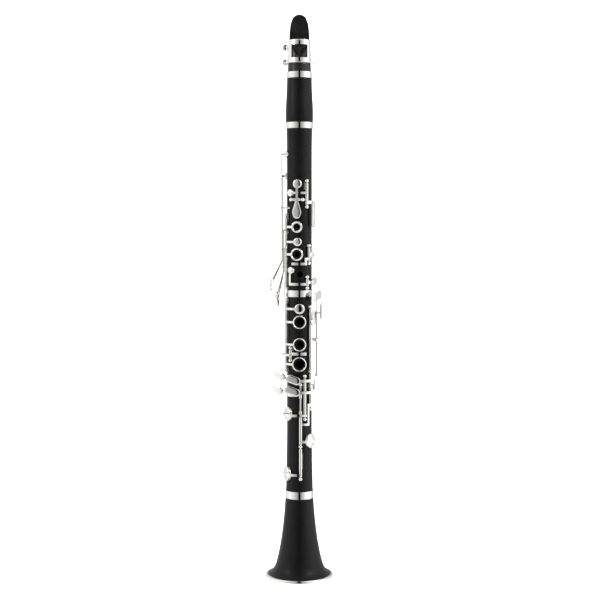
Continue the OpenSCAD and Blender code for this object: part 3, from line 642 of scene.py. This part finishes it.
# %% Reed
reed_low, reed_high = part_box("reed")
reed_length = reed_high.z - reed_low.z
reed_half = (reed_high.x - reed_low.x) / 2
TIP_ROUND = 3.4 * MM
VAMP_LENGTH = 33 * MM
HEEL_THICK = 2.9
TIP_THICK = 0.22
reed_loops = []
for i in range(61):
    share = math.sin(math.pi / 2 * i / 60)
    z = reed_low.z + reed_length * share
    to_tip = reed_high.z - z
    half = reed_half * (0.90 + 0.095 * share)
    if to_tip < TIP_ROUND:
        half *= math.sqrt(max(0.02, 1 - (1 - to_tip / TIP_ROUND) ** 2.4))
    vamp = max(0.0, 1 - to_tip / VAMP_LENGTH)
    thick = (HEEL_THICK * (1 - vamp) ** 1.15 + TIP_THICK) * MM
    loop = [Vector((side * half, reed_low.y + 0.02 * MM, z)) for side in (-1, -0.5, 0, 0.5, 1)]
    for k in range(11):
        across = math.cos(math.pi * k / 10)
        swell = 0.62 + 0.38 * math.sqrt(max(0.0, 1 - across * across))
        loop.append(Vector((across * half, reed_low.y + thick * swell, z)))
    reed_loops.append(loop)
reed = skin("reed_cut", reed_loops, "cane", "reed")
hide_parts("reed")
print("reed", round(reed_length / MM, 1), "mm long")

# %% [markdown]
# ## Floor and wall
# The instrument stands on a pale sweep, two smooth surfaces of revolution: a floor and a round
# wall. They glow a little, as paper does under studio lamps, so the ground stays white. Both
# are kept out of the reflections, where they would wash the metal out. The light that the
# metal shows comes from the room, in the next cell.

# %% Floor and wall
WALL_RADIUS = 4.5


def ring_of_points(shape, radius, height, steps=96):
    turn = math.tau / steps
    return [
        shape.verts.new((radius * math.cos(turn * i), radius * math.sin(turn * i), height))
        for i in range(steps)
    ]


def make_sweep(name, rings, closed_inside):
    """Concentric rings of (radius, height) joined into one smooth surface."""
    mesh = bpy.data.meshes.new(name)
    shape = bmesh.new()
    loops = [ring_of_points(shape, radius, height) for radius, height in rings]
    if closed_inside:
        shape.faces.new(loops[0])
    for inner, outer in zip(loops, loops[1:]):
        for i in range(len(inner)):
            j = (i + 1) % len(inner)
            shape.faces.new((inner[i], outer[i], outer[j], inner[j]))
    for face in shape.faces:
        face.smooth = True
    shape.to_mesh(mesh)
    shape.free()
    sweep = bpy.data.objects.new(name, mesh)
    bpy.context.scene.collection.objects.link(sweep)
    return sweep


def make_pale_paper(name, glow):
    material, tree, shader = new_finish(name, 0.75)
    paper = place_noise(tree, 30, detail=3)
    tone = ramp(tree, paper, [(0.3, (0.90, 0.90, 0.90)), (0.7, (0.93, 0.93, 0.93))])
    tree.links.new(tone, shader.inputs["Base Color"])
    tree.links.new(tone, shader.inputs["Emission Color"])
    shader.inputs["Emission Strength"].default_value = glow
    return material


floor = make_sweep("floor", [(0.02, 0), (0.6, 0), (1.6, 0), (3.0, 0), (WALL_RADIUS, 0)], True)
floor.data.materials.append(make_pale_paper("floor_paper", 0.62))
wall = make_sweep(
    "wall", [(WALL_RADIUS, 0), (WALL_RADIUS, 1.5), (WALL_RADIUS, 3), (WALL_RADIUS, 4.5)], False
)
wall.data.materials.append(make_pale_paper("wall_paper", 0.85))
floor.visible_glossy = False
wall.visible_glossy = False


# %% [markdown]
# ## The room in the metal
# The light comes from all round and changes with the bearing, like a ring of white cloth with
# lamps behind it: dim near the viewer, bright at the sides, brightest at the right. A gap of a
# few degrees straight ahead is left dark, and draws the dark stripe down every ring. A radial
# gradient turns the bearing of a ray into a place on a colour ramp, so one smooth ramp draws
# every reflection. Rays that point well below the horizon meet a plain bright floor instead,
# which lights the undersides of crowns and rings.

# %% Room light
ROOM_POWER = 2.0
FLOOR_GLOW = 1.0
ROOM = [
    (-180, 0.50), (-150, 0.8), (-110, 1.0), (-80, 1.15), (-50, 0.85), (-25, 0.5), (-10, 0.34),
    (-7, 0.0), (7, 0.0), (10, 0.36), (28, 0.58), (58, 1.25), (78, 1.8), (94, 1.4), (120, 0.8),
]


def ramp_place(bearing):
    """Where a bearing, in degrees from the viewer towards the right, lies on the radial gradient."""
    return (0.25 + bearing / 360) % 1.0


def make_room():
    world = bpy.data.worlds.new("room")
    world.use_nodes = True
    tree = world.node_tree
    where = tree.nodes.new("ShaderNodeTexCoord")
    around = tree.nodes.new("ShaderNodeTexGradient")
    around.gradient_type = "RADIAL"
    tree.links.new(where.outputs["Generated"], around.inputs["Vector"])
    stops = sorted((ramp_place(bearing), glow / ROOM_POWER) for bearing, glow in ROOM)
    edge = (stops[0][1] + stops[-1][1]) / 2
    stops = [(0.0, edge), *stops, (1.0, edge)]
    tone = ramp(tree, around.outputs["Fac"], [(place, (v, v, v * 0.985)) for place, v in stops])
    parts = tree.nodes.new("ShaderNodeSeparateXYZ")
    tree.links.new(where.outputs["Generated"], parts.inputs["Vector"])
    steep = tree.nodes.new("ShaderNodeMath")
    steep.operation = "MULTIPLY"
    steep.inputs[1].default_value = -1.0
    tree.links.new(parts.outputs["Z"], steep.inputs[0])
    blend = tree.nodes.new("ShaderNodeMix")
    blend.data_type = "RGBA"
    tree.links.new(spread(tree, steep.outputs[0], 0.0, 1.0, 0.3, 0.6), blend.inputs["Factor"])
    tree.links.new(tone, blend.inputs["A"])
    below = FLOOR_GLOW / ROOM_POWER
    blend.inputs["B"].default_value = (below, below, below * 0.985, 1)
    background = tree.nodes["Background"]
    tree.links.new(blend.outputs["Result"], background.inputs["Color"])
    background.inputs["Strength"].default_value = ROOM_POWER
    bpy.context.scene.world = world


def add_lamp(name, place, aim, size, power):
    data = bpy.data.lights.new(name, "AREA")
    data.shape = "RECTANGLE"
    data.size, data.size_y = size
    data.energy = power
    lamp = bpy.data.objects.new(name, data)
    lamp.location = place
    lamp.rotation_euler = (Vector(aim) - Vector(place)).to_track_quat("-Z", "Y").to_euler()
    lamp.visible_camera = False
    bpy.context.scene.collection.objects.link(lamp)


make_room()
add_lamp("key lamp", (1.5, -1.1, 1.6), (0, 0, 0.35), (0.5, 0.5), 9)
add_lamp("fill lamp", (-1.6, -0.9, 1.2), (0, 0, 0.35), (0.6, 0.6), 5)
bpy.context.scene.view_settings.view_transform = "Standard"
print(len(ROOM), "bearings in the room light,", len(bpy.data.lights), "lamps")
